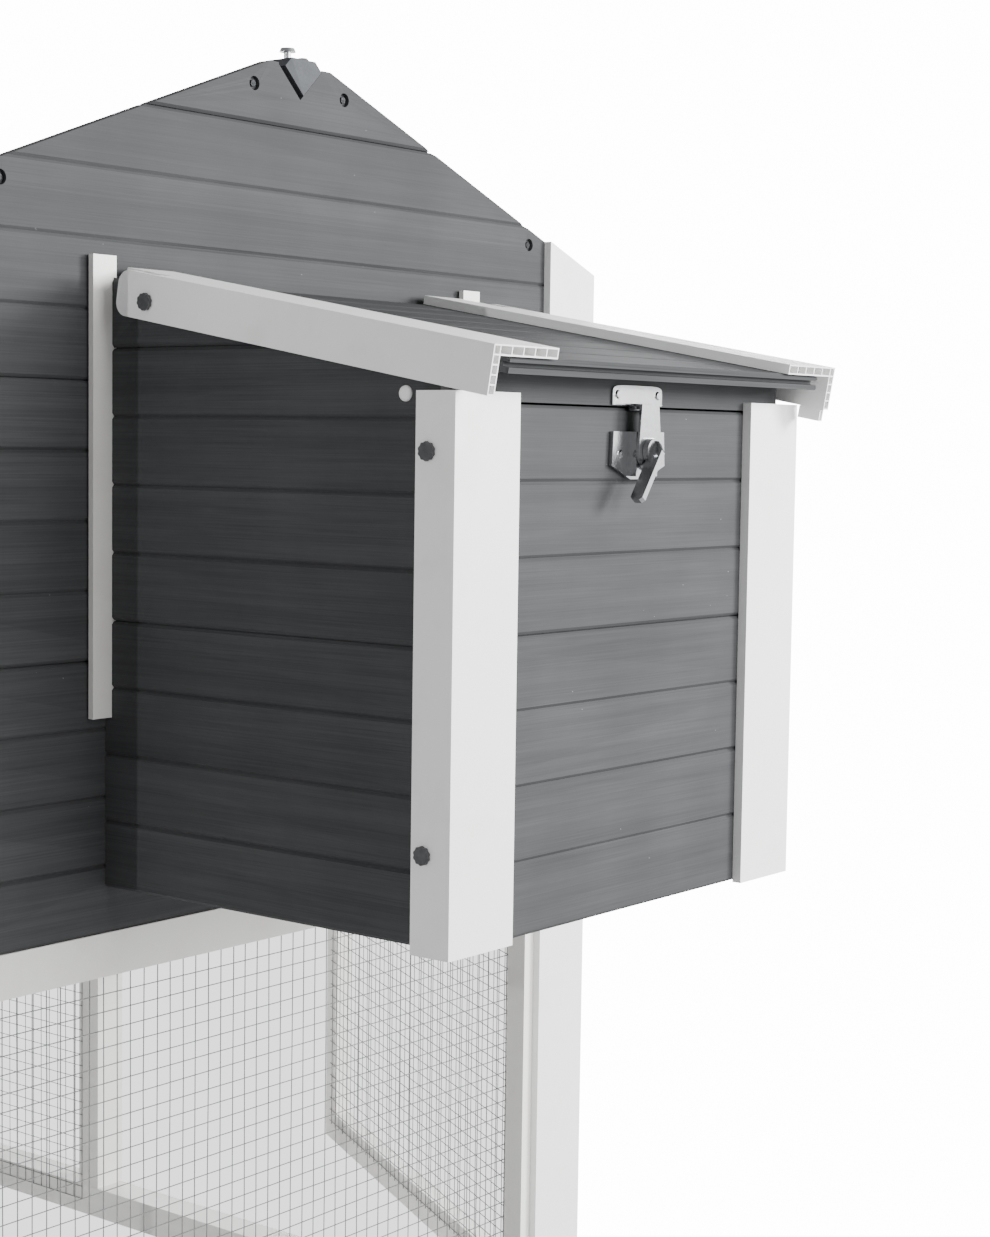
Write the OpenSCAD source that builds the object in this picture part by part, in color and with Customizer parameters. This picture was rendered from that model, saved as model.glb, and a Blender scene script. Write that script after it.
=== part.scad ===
// Chicken coop with a raised hen house, a wire run and an outside nest box.
// Grooved hollow boards, white hollow angle trims and square welded mesh.
// The coop stands on z = 0. The nest box looks towards -Y and the ridge runs along Y.

/* [House] */
// Half of the width over the corner posts
half_w = 538; // [500:1:600]
// Clear length of each of the two bays
bay = 880; // [800:1:1000]
// Height of the run under the house, up to the lowest board
run_h = 695; // [600:1:750]
// Height of the flat top of the gable above the floor
flat_z = 1602; // [1550:1:1700]
// Half width of that flat top
flat_half = 48; // [40:1:60]
// Slope of the roof in degrees
roof_a = 21.1; // [15:0.1:25]

/* [Boards] */
// Distance between two grooves of a wall board
strake = 70; // [60:0.5:80]
// Distance between two grooves of a nest side board
side_strake = 68; // [60:0.5:80]
// Thickness of every board
board_t = 15; // [12:0.5:18]
// Width of a groove at the surface
groove_w = 6; // [3:0.5:8]
// Depth of a groove
groove_d = 2.6; // [1:0.1:3.5]
// Gap between two boards
joint_gap = 1.2; // [0.5:0.1:2]

/* [Trims] */
// Long leg of the angle trim
leg_a = 93; // [80:1:100]
// Short leg of the angle trim
leg_b = 45; // [40:1:50]
// Thickness of the angle trim
trim_t = 10; // [8:0.5:12]
// Width of the run frame bars
bar_w = 45; // [35:1:50]
// Thickness of the run frame bars
bar_t = 27; // [20:1:30]
// Depth of the bars in the side walls
side_bar = 50; // [40:1:55]

/* [Nest box] */
// Width over the nest box side panels
nest_w = 560; // [500:1:580]
// Depth from the gable wall to the face of the front panel
nest_d = 449; // [400:1:480]
// Height of the underside of the nest box
nest_z = 740; // [720:1:760]
// Height of the front panel
nest_front_h = 493.5; // [480:0.5:500]
// Slope of the lid in degrees
lid_a = 9.8; // [5:0.1:12]
// Length of the lid rails along the slope
lid_len = 476; // [460:1:490]

/* [Run door] */
// Opening angle of the run door as it stands
door_open = 29.3; // [0:0.1:45]
// Width of the run door
door_w = 803.5; // [760:0.5:820]

/* [Hidden] */
$fn = 48;

white = "#ECECEA";
grey = "#6E7073";
steel = "#C9CBCC";
black = "#2B2C2E";

fit = 0.3;                       // gap between pieces that butt together
mid_t = 19;                      // thickness of the posts between the bays
len_y = 2 * bay + mid_t;         // length of the two bays
side_out = half_w - trim_t;      // outer face of the side walls
side_in = side_out - side_bar;   // inner face of the side walls
slope = tan(roof_a);
stile_in = half_w - leg_a - 18;  // inner edge of the end frame stiles
stile_out = stile_in + bar_w;
run_rail = run_h - bar_w;        // underside of the rail below the house
eave_bot = 1352;                 // underside of the eave rails
roof_t = 15;
roof_drop = 4;                   // top of the roof below the gable edge
roof_over = 45;                  // eave overhang
mesh_t = 1.6;

// lid frame: origin at the rear top edge of the rails, y runs up the slope, z is normal to it
lid_y = -34;
lid_z = nest_z + 623.8;
pivot_y = -42.2;
pivot_z = -27;
pivot_r = 4;
rail_x = nest_w / 2 + 12;        // outer face of the lid rails

// run door: hinge line at the outer front corner of the opening
hinge_x = side_out + 6;
hinge_y = bar_w + 5;
door_z0 = bar_w + 6;
door_z1 = run_rail - 5;
door_tip = hinge_x + (12 + fit) * cos(door_open) + (door_w - 5) * sin(door_open);

// the drawing is made about the coop's centre plane and the gable wall's face,
// then moved so that the origin is at the centre of the base of the bounding box
lid_reach = -(lid_y - lid_len * cos(lid_a));
box_left = -side_out - trim_t - roof_over;
axis_x = -(box_left + door_tip) / 2;
wall_y = -(len_y + trim_t - lid_reach) / 2;

module place() {
    translate([axis_x, wall_y, 0]) children();
}

module mirrored() {
    children();
    mirror([1, 0, 0]) children();
}

function roof_z(x) = flat_z - slope * max(0, abs(x) - flat_half);

// ---------- profiles ----------

// End view of one board: x is depth behind the face, y is height.
// The boards hold together by a tongue on top and a slot below.
module board_profile(strakes, pitch) {
    h = strakes * pitch;
    g = groove_w / 2;
    tongue = [board_t / 2 - 2, board_t / 2 + 2];
    face = [for (k = [1 : strakes - 1]) each
        [[0, k * pitch - g], [groove_d, k * pitch], [0, k * pitch + g]]];
    top = h - joint_gap;
    polygon(concat(
        [[groove_d, 0], [0, g]], face, [[0, top - g], [groove_d, top],
        [tongue[0], top], [tongue[0], top + 6], [tongue[1], top + 6], [tongue[1], top],
        [board_t, top], [board_t, 0],
        [tongue[1] + fit, 0], [tongue[1] + fit, 7], [tongue[0] - fit, 7], [tongue[0] - fit, 0]]));
}

// A stack of boards in the XZ plane with its face at y = 0 looking to -Y
module boards(length, count, pitch = strake, strakes = 4) {
    for (i = [0 : count - 1])
        translate([0, 0, i * strakes * pitch])
            rotate([90, 0, 90])
                linear_extrude(length) board_profile(strakes, pitch);
}

// Hollow angle: outer corner at the origin, long leg along x, short leg along y
module angle_profile(a, b, t = trim_t) {
    wall = 1.4;
    core = t - 2 * wall;
    difference() {
        union() {
            square([a, t]);
            square([t, b]);
        }
        translate([wall, wall]) square([core, core]);
        chamber_row(a - t, 5, wall, core) translate([t, wall]) square([$cell, core]);
        chamber_row(b - t, 4, wall, core) translate([wall, t]) square([core, $cell]);
    }
}

// Repeats a chamber along a leg; the chambers of the long leg step in x, of the short leg in y
module chamber_row(run, n, wall, core) {
    $cell = (run - n * wall) / n;
    for (i = [0 : n - 1])
        translate(n == 5 ? [i * ($cell + wall), 0] : [0, i * ($cell + wall)]) children();
}

// Outline of a gable in the XZ plane, lowered by drop
module gable_outline(w, z0, drop = 0) {
    polygon([[-w, z0], [w, z0], [w, roof_z(w) - drop], [flat_half, flat_z - drop],
        [-flat_half, flat_z - drop], [-w, roof_z(w) - drop]]);
}

module upright(y0, depth) {
    translate([0, y0 + depth, 0]) rotate([90, 0, 0]) linear_extrude(depth) children();
}

module bar(x, y, z) {
    translate([x[0], y[0], z[0]]) cube([x[1] - x[0], y[1] - y[0], z[1] - z[0]]);
}

// Round cap with a scalloped edge, its face looking to +Z
module star_cap(r, t) {
    lobes = 10;
    steps = 4 * lobes;
    linear_extrude(t) polygon([for (i = [0 : steps - 1])
        let (a = 360 * i / steps, rr = r + 0.5 * cos(lobes * a)) [rr * cos(a), rr * sin(a)]]);
}

// ---------- posts ----------

module corner_post(y_face, turn) {
    intersection() {
        translate([half_w, y_face, 0]) mirror([1, 0, 0]) mirror([0, turn, 0])
            linear_extrude(flat_z) angle_profile(leg_a, leg_b);
        upright(-60, len_y + 120) gable_outline(half_w, 0);
    }
}

module front_right_post() {
    color(white) place() corner_post(-trim_t, 0);
}

module front_left_post() {
    color(white) place() mirror([1, 0, 0]) corner_post(-trim_t, 0);
}

module rear_posts() {
    color(white) place() mirrored() corner_post(len_y + trim_t, 1);
}

module mid_posts() {
    color(white) place() mirrored()
        bar([side_in, side_out], [bay, bay + mid_t], [0, eave_bot - fit]);
}

// ---------- frames and mesh ----------

// Frame of an end wall: bottom bar, one or two stiles and a top bar
module end_frame(y0, z0, z1) {
    y = [y0, y0 + bar_t];
    bar([-stile_out, stile_out], y, [z0, z0 + bar_w]);
    bar([-stile_out, stile_out], y, [z1 - bar_w, z1]);
    mirrored() bar([stile_in, stile_out], y, [z0 + bar_w + fit, z1 - bar_w - fit]);
}

// Frame of a side wall between two posts
module side_frame(y, z0, z1, stile_y) {
    x = [side_in, side_out];
    bar(x, y, [z0, z0 + bar_w]);
    bar(x, y, [z1 - bar_w, z1]);
    bar(x, stile_y, [z0 + bar_w + fit, z1 - bar_w - fit]);
}

module end_mesh(y0, z0, z1) {
    lap = 20;
    bar([-stile_in - lap, stile_in + lap], [y0, y0 + mesh_t], [z0 + bar_w - lap, z1 - bar_w + lap]);
}

module side_mesh(y, z) {
    bar([side_in - fit - mesh_t, side_in - fit], y, z);
}

module front_run_frame() {
    color(white) place() end_frame(0, 0, run_h);
}

module front_run_mesh() {
    color(steel) place() end_mesh(bar_t + fit, 0, run_h);
}

front_bay = [1, bay - fit];
rear_bay = [bay + mid_t + fit, len_y - 1];

module left_lower_frame() {
    color(white) place() mirror([1, 0, 0])
        side_frame(front_bay, 0, run_h, [1, 1 + bar_w]);
}

module left_lower_mesh() {
    color(steel) place() mirror([1, 0, 0])
        side_mesh([24, bay + mid_t / 2], [bar_w / 2, run_h - bar_w / 2]);
}

strike_y = hinge_y + door_w + 3;

// Sill, head, hinge stile and strike round the door opening
module door_surround() {
    color(white) place() {
        side_frame(front_bay, 0, run_h, [1, 1 + bar_w]);
        bar([side_in, side_out], [strike_y, bay - fit], [bar_w + fit, run_rail - fit]);
    }
}

// Side wall of the open run: lower and upper field with a bar between them
module run_side() {
    last = [len_y - 1 - bar_w, len_y - 1];
    side_frame(rear_bay, 0, run_h, last);
    bar([side_in, side_out], last, [run_h + fit, eave_bot - fit]);
}

module run_side_mesh() {
    side_mesh([bay + mid_t / 2 + fit, len_y - bar_t - mesh_t - 2], [bar_w / 2, eave_bot + 20]);
}

module right_run_frame() {
    color(white) place() run_side();
}

module left_run_frame() {
    color(white) place() mirror([1, 0, 0]) run_side();
}

module right_run_mesh() {
    color(steel) place() run_side_mesh();
}

module left_run_mesh() {
    color(steel) place() mirror([1, 0, 0]) run_side_mesh();
}

module rear_run_frame() {
    y = [len_y - bar_t, len_y];
    color(white) place() {
        end_frame(y[0], 0, run_h);
        bar([-stile_out, stile_out], y, [eave_bot - bar_w, eave_bot]);
        mirrored() bar([stile_in, stile_out], y, [run_h + fit, eave_bot - bar_w - fit]);
    }
}

module rear_run_mesh() {
    color(steel) place() end_mesh(len_y - bar_t - fit - mesh_t, 0, eave_bot);
}

// ---------- run door ----------

// Frame of the open door: origin on the hinge line, y along the door, x outwards
module door_place() {
    place() translate([hinge_x, hinge_y, 0]) rotate([0, 0, -door_open]) children();
}

door_x = [-bar_t - 6, -6];
door_y = [2, door_w];

module run_door_frame() {
    z = [door_z0, door_z1];
    color(white) door_place() {
        bar(door_x, door_y, [z[0], z[0] + bar_w]);
        bar(door_x, door_y, [z[1] - bar_w, z[1]]);
        for (y = [door_y[0], door_y[1] - bar_w])
            bar(door_x, [y, y + bar_w], [z[0] + bar_w + fit, z[1] - bar_w - fit]);
    }
}

module run_door_mesh() {
    lap = 20;
    color(steel) door_place()
        bar([door_x[0] - fit - mesh_t, door_x[0] - fit],
            [door_y[0] + bar_w - lap, door_y[1] - bar_w + lap],
            [door_z0 + bar_w - lap, door_z1 - bar_w + lap]);
}

hinge_zs = [door_z0 + 60, door_z1 - 120];
knuckle = 20;                    // height of one hinge knuckle
knuckle_r = 5;
hinge_pin_r = 2.5;
leaf_l = 38;                     // length of a hinge leaf
leaf_t = 2;
fixed_leaf = 13;                 // length of the leaf on the hinge stile, beside the corner post

// Moving leaves: flat strap on the door's outer face and the middle knuckle
module door_hinge_leaves() {
    color(steel) door_place() for (z = hinge_zs) translate([0, 0, z + knuckle + fit])
        difference() {
            union() {
                cylinder(h = knuckle - 2 * fit, r = knuckle_r);
                bar([-6, -6 + leaf_t], [0, leaf_l], [0, knuckle - 2 * fit]);
                bar([-6, -1], [0, 4], [0, knuckle - 2 * fit]);
            }
            translate([0, 0, -1]) cylinder(h = knuckle + 2, r = hinge_pin_r + 0.05);
        }
}

// Fixed leaves on the hinge stile with the pins through both outer knuckles
module door_hinge_pins() {
    color(steel) place() translate([hinge_x, hinge_y, 0]) for (z = hinge_zs) translate([0, 0, z]) {
        cylinder(h = 3 * knuckle, r = hinge_pin_r);
        for (k = [0, 2 * knuckle]) translate([0, 0, k]) {
            cylinder(h = knuckle, r = knuckle_r);
            bar([-6, -6 + leaf_t], [-fixed_leaf, 0], [0, knuckle]);
            bar([-6, -1], [-4, 0], [0, knuckle]);
        }
    }
}

bolt_z = door_z1 - 120;
bolt_r = 5;
bolt_len = 138;
bolt_y = door_w - bolt_len - 1;

// Round bolt with a knob, drawn back in its guides
module door_bolt() {
    color(steel) door_place() translate([4, bolt_y, bolt_z]) {
        rotate([-90, 0, 0]) cylinder(h = bolt_len, r = bolt_r);
        translate([0, 70, 0]) rotate([0, 90, 0]) cylinder(h = 22, r = 3.5);
        translate([22, 70, 0]) sphere(r = 7);
    }
}

module door_bolt_guides() {
    color(steel) door_place() for (k = [50, 122])
        translate([-6 + fit, bolt_y + k, bolt_z]) difference() {
            union() {
                bar([0, 2], [0, 12], [-20, 20]);
                bar([0, 18], [0, 12], [-9, 9]);
            }
            translate([10 - fit, -1, 0]) rotate([-90, 0, 0]) cylinder(h = 14, r = bolt_r + 0.08);
        }
}

// Staple on the middle post that takes the bolt when the door is shut
module bolt_keeper() {
    color(steel) place() translate([side_out + fit, bay + 3, bolt_z]) difference() {
        union() {
            bar([0, 2], [0, 12], [-20, 20]);
            bar([0, 18], [0, 12], [-9, 9]);
        }
        translate([10, -1, 0]) rotate([-90, 0, 0]) cylinder(h = 14, r = bolt_r + 0.6);
    }
}

// ---------- house walls ----------

wall_count = 4;
nest_way = [[-225, 225], [nest_z + 20, nest_z + 370]];   // way from the house into the nest box
notch_half = 34;                                         // half width of the ridge beam notch
beam_mid = flat_z - 2;                                   // height of the beam's widest line

// Square notch on its corner at the top of a gable
module ridge_notch() {
    upright(-5, len_y + 10)
        polygon([[-notch_half, beam_mid], [0, beam_mid - notch_half], [notch_half, beam_mid],
            [notch_half, flat_z + 20], [-notch_half, flat_z + 20]]);
}

gable_spots = [[71, flat_z - 27], [412.8, flat_z - 159.5]];   // screws of the gables
cup = 5;                         // depth of the round seats of those screws

module screw_cups(y) {
    mirrored() for (s = gable_spots)
        translate([s[0], y + cup, s[1]]) rotate([90, 0, 0]) cylinder(h = 2 * cup, r = 7.5);
}

module front_gable_boards() {
    color(grey) place() difference() {
        intersection() {
            translate([-side_out + 1, 0, run_h]) boards(2 * side_out - 2, wall_count);
            upright(-1, board_t + 2) gable_outline(side_out - 1, run_h);
        }
        bar(nest_way[0], [-1, board_t + 1], nest_way[1]);
        ridge_notch();
        screw_cups(0);
    }
}

module rear_gable_boards() {
    color(grey) place() difference() {
        intersection() {
            translate([side_out - 1, len_y, run_h]) rotate([0, 0, 180])
                boards(2 * side_out - 2, wall_count);
            upright(len_y - board_t - 1, board_t + 2) gable_outline(side_out - 1, eave_bot + fit);
        }
        ridge_notch();
        screw_cups(len_y);
    }
}

// Side wall of the house; tray_way is the slot for the tray on the right side
tray_way = [[120, 760], [run_h + 14.5, run_h + 50]];

module house_wall() {
    y0 = board_t + 1;
    translate([side_out, y0, run_h + fit]) rotate([0, 0, 90]) intersection() {
        boards(bay + mid_t - y0, 3);
        bar([0, bay + mid_t - y0], [0, board_t], [0, eave_bot - run_h - 2 * fit]);
    }
}

module right_house_wall() {
    color(grey) place() difference() {
        house_wall();
        bar([side_in, side_out + 5], tray_way[0], tray_way[1]);
        bar([side_in, side_out + 5], [bay - fit, bay + mid_t + 1], [run_h - 5, eave_bot]);
    }
}

module left_house_wall() {
    color(grey) place() mirror([1, 0, 0]) difference() {
        house_wall();
        bar([side_in, side_out + 5], [bay - fit, bay + mid_t + 1], [run_h - 5, eave_bot]);
    }
}

pop_way = [[-135, 135], [run_h + 40, run_h + 340]];      // hens' way into the run
part_y = bay + 2;                                        // rear face of the partition boards

module partition_boards() {
    color(grey) place() difference() {
        intersection() {
            translate([side_in - 4, part_y, run_h + fit]) rotate([0, 0, 180])
                boards(2 * side_in - 8, wall_count);
            upright(part_y - board_t - 1, board_t + 2)
                gable_outline(side_in - 4, run_h, roof_t / cos(roof_a) + roof_drop + 3);
        }
        bar(pop_way[0], [part_y - board_t - 1, part_y + 1], pop_way[1]);
        translate([0, 0, -4]) ridge_notch();
    }
}

module house_floor() {
    color(white) place()
        bar([-side_out + board_t + 1, side_out - board_t - 1],
            [board_t + 1, part_y - board_t - 1], [run_h + fit, run_h + 15]);
}

// ---------- house fittings ----------

door_leaf = [pop_way[0][0] - 12, pop_way[0][1] + 12];

module pop_door() {
    y = [part_y + 1, part_y + 7];
    color(white) place() {
        bar(door_leaf, y, [pop_way[1][0] - 10, pop_way[1][1] + 15]);
        bar([-45, 45], [y[1] - 0.5, y[1] + 12], [pop_way[1][1] - 12, pop_way[1][1] - 2]);
    }
}

// Two upright channels that hold the sliding door
module pop_door_guides() {
    z = [pop_way[1][0] - 12, pop_way[1][0] + 630];
    color(steel) place() mirrored() difference() {
        bar([pop_way[0][1] + 2, door_leaf[1] + 6], [part_y + fit, part_y + 11], z);
        bar([pop_way[0][1] + 1, door_leaf[1] + 1], [part_y - 1, part_y + 8.5], [z[0] + 1.5, z[1] + 1]);
    }
}

ramp_w = 250;
ramp_t = 16;
ramp_top = run_h - 14;           // height of the ramp's hinge line
ramp_y = part_y + 30;
ramp_a = 55;
ramp_len = (ramp_top - 14) / sin(ramp_a);

// Sloping board with cleats; local y runs down the ramp from the hinge
module ramp() {
    color(grey) place() translate([0, ramp_y, ramp_top]) rotate([-ramp_a, 0, 0]) {
        bar([-ramp_w / 2, ramp_w / 2], [14, ramp_len], [-ramp_t / 2, ramp_t / 2]);
        for (k = [1 : 9])
            bar([-ramp_w / 2 + 10, ramp_w / 2 - 10], [k * 88, k * 88 + 12],
                [ramp_t / 2 - 0.5, ramp_t / 2 + 9]);
        mirrored() difference() {
            union() {
                bar([70, 95], [-2, 20], [-6, 6]);
                translate([70, 0, 0]) rotate([0, 90, 0]) cylinder(h = 25, r = 9);
            }
            translate([69, 0, 0]) rotate([0, 90, 0]) cylinder(h = 27, r = 5.06);
        }
    }
}

// Cross bar behind the partition, with two ears and the rod that the ramp turns on
module ramp_hinge() {
    color(steel) place() {
        translate([-150, ramp_y, ramp_top]) rotate([0, 90, 0]) cylinder(h = 300, r = 5);
        mirrored() difference() {
            bar([135, 145], [part_y + fit, ramp_y + 9], [ramp_top - 12, ramp_top + 36]);
            translate([134, ramp_y, ramp_top]) rotate([0, 90, 0]) cylinder(h = 12, r = 5);
        }
    }
}

perch_z = 1010;

// Square bar across the house on two shoes
module house_perch() {
    y = 610;
    color("#B08A5B") place() {
        bar([-side_out + board_t + 18, side_out - board_t - 18], [y, y + 45], [perch_z, perch_z + 35]);
        mirrored() difference() {
            bar([side_out - board_t - 24, side_out - board_t - 0.5], [y - 8, y + 53],
                [perch_z - 8, perch_z + 30]);
            bar([side_out - board_t - 25, side_out - board_t - 17.8], [y - fit, y + 45 + fit],
                [perch_z - fit, perch_z + 40]);
        }
    }
}

// Shallow tray on the house floor that pulls out to the right
module droppings_tray() {
    x = [-side_in + 10, side_out + 2];
    y = [tray_way[0][0] + 4, tray_way[0][1] - 4];
    z = [run_h + 15.3, run_h + 45];
    color(steel) place() {
        difference() {
            bar(x, y, z);
            bar([x[0] + 2, x[1] - board_t - 6], [y[0] + 2, y[1] - 2], [z[0] + 2, z[1] + 1]);
        }
        bar([x[1] - 0.5, x[1] + 6], [y[0] - 14, y[1] + 14], [z[0] - 4, z[1] + 18]);
        bar([x[1] + 5, x[1] + 24], [340, 540], [z[0] + 20, z[0] + 28]);
    }
}

// ---------- roof ----------

// Beam with its lower edge down and a flat top, from y0 to y1
module ridge_piece(y0, y1) {
    w = 28.6;
    translate([5, y1, 0]) rotate([90, 0, 0]) linear_extrude(y1 - y0)
        polygon([[-w, beam_mid], [0, beam_mid - w], [w, beam_mid],
            [w - 10, beam_mid + 10], [-w + 10, beam_mid + 10]]);
}

// Short block in the notch of the front gable
module ridge_block() {
    color(grey) place() ridge_piece(0, 36);
}

// Beam over the open run, from the partition to the rear gable
module ridge_beam() {
    color(grey) place() ridge_piece(part_y - board_t - 6, len_y);
}

// Rails on top of the side walls, bevelled to the slope of the roof
module eave_rails() {
    under = roof_t / cos(roof_a) + roof_drop + 0.5;
    color(white) place() mirrored() upright(board_t + 1, len_y - 2 * board_t - 2)
        polygon([[side_in, eave_bot], [side_out, eave_bot],
            [side_out, roof_z(side_out) - under], [side_in, roof_z(side_in) - under]]);
}

// One slope of the roof: two wide boards that run along the ridge
module roof_slope(y0, y1) {
    reach = (half_w + roof_over - flat_half) / cos(roof_a);
    pitch = (reach + joint_gap) / 8;
    difference() {
        translate([flat_half, y0, flat_z - roof_drop]) rotate([0, roof_a, 0]) difference() {
            rotate([-90, 0, 0]) rotate([0, 0, 90]) mirror([0, 1, 0]) linear_extrude(y1 - y0)
                for (i = [0, 1]) translate([0, i * 4 * pitch]) board_profile(4, pitch);
            bar([reach, reach + 20], [-1, len_y], [-40, 10]);
        }
        bar([side_out - fit, half_w + 90], [len_y + trim_t - leg_b - fit, len_y], [1200, 1500]);
    }
}

roof_y = [part_y - board_t - 6, len_y - board_t - 1];   // the roof covers the open run only

module roof_panel_left() {
    color(grey) place() mirror([1, 0, 0]) roof_slope(roof_y[0], roof_y[1]);
}

module roof_panel_right() {
    color(grey) place() roof_slope(roof_y[0], roof_y[1]);
}

// Bent cap over the beam; its lower edges rest on the two slopes
module ridge_cap() {
    cap_t = 3;
    flat = 36;
    half = 85;
    top = beam_mid + 10 + fit;
    edge = flat_z - roof_drop - slope * (half - flat_half) + fit;
    color(grey) place() upright(roof_y[0], len_y - 26 - roof_y[0])
        polygon([[-half, edge], [-flat, top], [flat, top], [half, edge], [half, edge + cap_t],
            [flat, top + cap_t], [-flat, top + cap_t], [-half, edge + cap_t]]);
}

// ---------- nest box ----------

half_n = nest_w / 2;

module lid_place() {
    place() translate([0, lid_y, lid_z]) rotate([lid_a, 0, 0]) children();
}

// Region below the lid's top flange, for the sloped top of a side panel
module below_lid() {
    translate([-half_n - 20, lid_y, lid_z]) rotate([lid_a, 0, 0])
        translate([0, -700, -900]) cube([nest_w + 40, 900, 900 - trim_t - 1.5]);
}

// Room for the lid's flange behind the pivot when the lid stands open
module swing_room() {
    translate([-half_n - 20, lid_y, lid_z]) rotate([lid_a, 0, 0])
        translate([0, pivot_y, pivot_z]) rotate([0, 90, 0]) difference() {
            cylinder(h = nest_w + 40, r = 37);
            translate([0, 0, -1]) cylinder(h = nest_w + 42, r = 15);
            translate([-60, -63, -1]) cube([120, 60, nest_w + 42]);
            translate([7, -60, -1]) cube([80, 120, nest_w + 42]);
        }
}

// The battens sit in a rebate of the side panels and stand a little off the gable wall
batten_y = [-9.5, -2.7];
batten_z = [nest_z + 177, nest_z + 638];

// Right-hand side panel; the left one is its mirror image
module nest_side() {
    y0 = -nest_d + board_t + fit;
    difference() {
        intersection() {
            translate([half_n, y0, nest_z + 3.3]) rotate([0, 0, 90])
                boards(-y0 - fit, 3, side_strake);
            below_lid();
        }
        bar([half_n - 6, half_n + 1], [batten_y[0] - fit, 1], batten_z + [-fit, fit]);
        swing_room();
        lid_pin(pivot_r);
    }
}

// Volume of the pivot pins, of radius r
module lid_pin(r) {
    translate([0, lid_y, lid_z]) rotate([lid_a, 0, 0])
        translate([half_n - board_t - 2, pivot_y, pivot_z]) rotate([0, 90, 0])
            cylinder(h = 40, r = r);
}

module nest_right_side() {
    color(grey) place() nest_side();
}

module nest_left_side() {
    color(grey) place() mirror([1, 0, 0]) nest_side();
}

module nest_front() {
    color(grey) place() intersection() {
        translate([-half_n + fit, -nest_d, nest_z]) boards(nest_w - 2 * fit, 2, strake + 0.5);
        bar([-half_n, half_n], [-nest_d, -nest_d + board_t], [nest_z, nest_z + nest_front_h]);
    }
}

module nest_floor() {
    color(white) place()
        bar([-half_n + board_t + 1, half_n - board_t - 1], [-nest_d + board_t + 1, -1],
            [nest_z + 4, nest_z + 16]);
}

module nest_divider() {
    color(white) place() bar([-5, 5], [-nest_d + board_t + 2, -8], [nest_z + 16.5, nest_z + 300]);
}

module nest_post() {
    translate([half_n + trim_t, -nest_d - trim_t, nest_z - 2]) mirror([1, 0, 0])
        linear_extrude(505.5) angle_profile(leg_a, leg_b);
}

module nest_right_post() {
    color(white) place() nest_post();
}

module nest_left_post() {
    color(white) place() mirror([1, 0, 0]) nest_post();
}

module nest_battens() {
    color(white) place() mirrored() bar([half_n - 6 + fit, half_n + 24.7], batten_y, batten_z);
}

// ---------- nest lid ----------

panel_half = half_n - board_t - 1.5;
flange_back = 22;                // reach of the top flange behind the side flange

module lid_panel() {
    y0 = flange_back - 2;
    depth = lid_len - 3 + y0;
    pitch = (depth + joint_gap) / 8;
    color(grey) lid_place() translate([-panel_half, y0 - depth, -trim_t - fit])
        rotate([90, 0, 90]) rotate([0, 0, 90]) mirror([1, 0, 0]) mirror([0, 1, 0])
            linear_extrude(2 * panel_half)
                for (i = [0, 1]) translate([0, i * 4 * pitch]) board_profile(4, pitch);
}

// Right-hand rail; the left one is its mirror image
module lid_rail() {
    difference() {
        union() {
            translate([rail_x, 0, 0]) rotate([90, 0, 0]) mirror([1, 0, 0]) mirror([0, 1, 0])
                linear_extrude(lid_len) angle_profile(leg_a, leg_b);
            bar([rail_x - leg_a, half_n - board_t - 3], [-1, flange_back], [-trim_t, 0]);
        }
        translate([half_n - board_t - 3, pivot_y - 2, -trim_t - 1]) cube([board_t + 5.2, 60, 20]);
        translate([rail_x - 20, 0, -leg_b]) corner_cut(14);
        translate([rail_x - 20, 0, 0]) mirror([0, 0, 1]) corner_cut(14);
        translate([half_n, pivot_y, pivot_z]) rotate([0, 90, 0]) cylinder(h = 40, r = pivot_r + 0.06);
    }
}

// What is cut away to round a rear corner of the side flange with radius r
module corner_cut(r) {
    difference() {
        translate([9, -r, -1]) cube([12, r + 1, r + 1]);
        translate([8, -r, r]) rotate([0, 90, 0]) cylinder(h = 14, r = r);
    }
}

module lid_left_rail() {
    color(white) lid_place() mirror([1, 0, 0]) lid_rail();
}

// The right rail also carries a short hollow stop block below its front end
module lid_right_rail() {
    color(white) lid_place() {
        lid_rail();
        translate([half_n + 3, -lid_len + 4, -leg_b - 13]) difference() {
            cube([7, 26, 13 - fit]);
            translate([1.3, -1, 1.3]) cube([4.4, 28, 10]);
        }
    }
}

skirt_z = [nest_z + nest_front_h + 2, nest_z + 526];

module lid_skirt() {
    color(grey) place() bar([-panel_half + 1, panel_half - 1], [-nest_d, -nest_d + board_t], skirt_z);
}

module lid_pivots() {
    color(black) place() mirrored() {
        lid_pin_solid();
    }
}

module lid_pin_solid() {
    translate([0, lid_y, lid_z]) rotate([lid_a, 0, 0])
        translate([half_n - board_t, pivot_y, pivot_z]) rotate([0, 90, 0]) {
            cylinder(h = board_t + 13, r = pivot_r);
            translate([0, 0, board_t + 12.5]) star_cap(8.2, 4);
        }
}

// ---------- latch ----------

latch_w = 84;
face_y = -nest_d;                // face of the skirt and of the front panel
knuckle_z = skirt_z[0] - 1;      // height of the strap's hinge line
knuckle_y = face_y - 6.4;
spindle_z = nest_z + 452;
strap_face = face_y - 18;
spindle_r = 4;

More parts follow.
